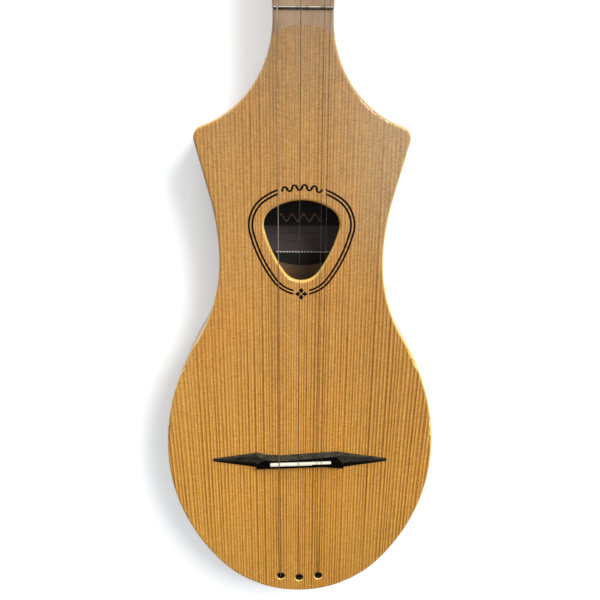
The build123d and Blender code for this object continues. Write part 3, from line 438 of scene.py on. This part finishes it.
# ---------------------------------------------------------------- string windings
def coil_rings(centre, axis, wire_r, turns):
    """Rings of points along a close coil round an axis."""
    aside = axis.cross(Vector((0, 1, 0))).normalized()
    ahead = axis.cross(aside)
    coil_r = POST_WAIST_R + wire_r
    rings = []
    for step in range(turns * STEPS_PER_TURN + 1):
        turn = step / STEPS_PER_TURN
        outward = aside * math.cos(turn * math.tau) + ahead * math.sin(turn * math.tau)
        climb = (turn - turns / 2) * 2 * wire_r
        middle = centre + outward * coil_r + axis * climb
        angles = [math.tau * corner / WIRE_CORNERS for corner in range(WIRE_CORNERS)]
        rings.append([middle + (outward * math.cos(a) + axis * math.sin(a)) * wire_r for a in angles])
    return rings


def tube(name, rings):
    """A closed tube through rings of points."""
    points = [point for ring in rings for point in ring]
    faces = [list(range(WIRE_CORNERS)), list(range(len(points) - WIRE_CORNERS, len(points)))[::-1]]
    for row in range(len(rings) - 1):
        for corner in range(WIRE_CORNERS):
            after = (corner + 1) % WIRE_CORNERS
            low, high = row * WIRE_CORNERS, (row + 1) * WIRE_CORNERS
            faces.append([low + corner, high + corner, high + after, low + after])
    mesh = bpy.data.meshes.new(name)
    mesh.from_pydata(points, [], faces)
    mesh.shade_smooth()
    return mesh


def windings(looks):
    """Each string's turns round its post: a coil of round wire in place of the CAD model's plain rings."""
    joints = {joint["name"]: joint for joint in frame["record"]["behaviour"]["joints"]}
    for name in STRINGS:
        cad = f"{name}_string_winding"
        low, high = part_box(cad)
        axis = Vector(joints[f"{name}_post_spin"]["axis"]).normalized()
        look = "string_wound" if name == "bass" else "string_steel"
        mesh = tube(f"{name}_coil", coil_rings((low + high) / 2, axis, WIRE_R[name], TURNS[name]))
        mesh.materials.append(looks[look])
        coil = bpy.data.objects.new(f"{name}_coil", mesh)
        bpy.context.scene.collection.objects.link(coil)
        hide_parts(cad)
        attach(coil, f"{name}_post")


# ---------------------------------------------------------------- studio
def area_light(name, place, target, size, power, color):
    data = bpy.data.lights.new(name, "AREA")
    data.shape = "RECTANGLE"
    data.size, data.size_y = size
    data.energy = power
    data.color = color
    light = bpy.data.objects.new(name, data)
    light.location = place
    light.rotation_euler = (Vector(target) - Vector(place)).to_track_quat("-Z", "Y").to_euler()
    bpy.context.scene.collection.objects.link(light)


def soft_sky():
    """A pale room, brightest towards the headstock, with a dim patch above the tail and a lamp overhead.

    The camera itself sees plain pale air behind the floor.
    """
    world = bpy.data.worlds.new("studio")
    world.use_nodes = True
    tree = world.node_tree
    direction = tree.nodes.new("ShaderNodeTexCoord").outputs["Generated"]

    def facing(aim, low, high, away, at_aim):
        """From one strength to another, as the direction turns towards aim."""
        dot = tree.nodes.new("ShaderNodeVectorMath")
        dot.operation = "DOT_PRODUCT"
        tree.links.new(direction, dot.inputs[0])
        dot.inputs[1].default_value = Vector(aim).normalized()
        rise = tree.nodes.new("ShaderNodeMapRange")
        rise.interpolation_type = "SMOOTHSTEP"
        tree.links.new(dot.outputs["Value"], rise.inputs[0])
        for index, value in enumerate((low, high, away, at_aim), start=1):
            rise.inputs[index].default_value = value
        return rise.outputs[0]

    tail_patch = facing((0, -0.38, 0.92), 0.78, 0.95, away=1.0, at_aim=0.22)
    room = facing((0.45, 0.7, 0.55), -0.65, 0.5, away=0.04, at_aim=0.88)
    overhead = facing((0.27, 0.05, 0.96), 0.965, 0.995, away=0.0, at_aim=1.3)
    strength = tree.nodes.new("ShaderNodeMath")
    strength.operation = "MULTIPLY_ADD"
    for part, socket in zip((tail_patch, room, overhead), strength.inputs):
        tree.links.new(part, socket)
    seen = tree.nodes.new("ShaderNodeMix")
    tree.links.new(tree.nodes.new("ShaderNodeLightPath").outputs["Is Camera Ray"], seen.inputs["Factor"])
    tree.links.new(strength.outputs[0], seen.inputs["A"])
    seen.inputs["B"].default_value = SKY_BEHIND_FLOOR
    background = tree.nodes["Background"]
    background.inputs["Color"].default_value = (1, 1, 1, 1)
    tree.links.new(seen.outputs[0], background.inputs["Strength"])
    return world


def studio():
    """A pale floor, a soft sky and two lamps past the headstock, the large one to the right."""
    floor_mesh = bpy.data.meshes.new("floor")
    corners = [(x * FLOOR_REACH, y * FLOOR_REACH, 0) for x, y in ((-1, -1), (1, -1), (1, 1), (-1, 1))]
    floor_mesh.from_pydata(corners, [], [(0, 1, 2, 3)])
    floor = bpy.data.objects.new("floor", floor_mesh)
    floor.location.z = -FLOOR_GAP
    bpy.context.scene.collection.objects.link(floor)
    paper = Finish("floor_paper", Base_Color=(0.905, 0.925, 0.94, 1), Roughness=0.9, Emission_Strength=0.19)
    paper.set(Emission_Color=(0.95, 0.98, 1, 1))
    floor_mesh.materials.append(paper.material)

    bpy.context.scene.world = soft_sky()
    middle = (0.0, SADDLE_Y + 0.1, TOP_Z)
    area_light("key", (1.8, SADDLE_Y + 2.26, 2.67), middle,
               size=(1.1, 1.1), power=92, color=(1.0, 0.99, 0.97))
    area_light("window", (-0.15, SADDLE_Y + 1.7, 0.7), middle,
               size=(0.9, 0.5), power=8, color=(0.99, 0.99, 1.0))


def camera():
    """A wide lens above the waist that looks down and a little towards the tail."""
    data = bpy.data.cameras.new("camera")
    data.lens, data.sensor_width = CAMERA_LENS, 36.0
    data.clip_start = 0.01
    eye = bpy.data.objects.new("camera", data)
    bpy.context.scene.collection.objects.link(eye)
    eye.location = CAMERA_PLACE
    eye.rotation_euler = [math.radians(angle) for angle in CAMERA_TURN]
    bpy.context.scene.camera = eye


def main():
    looks = dress()
    windings(looks)
    studio()
    camera()
    bpy.context.scene.view_settings.view_transform = "Standard"


main()
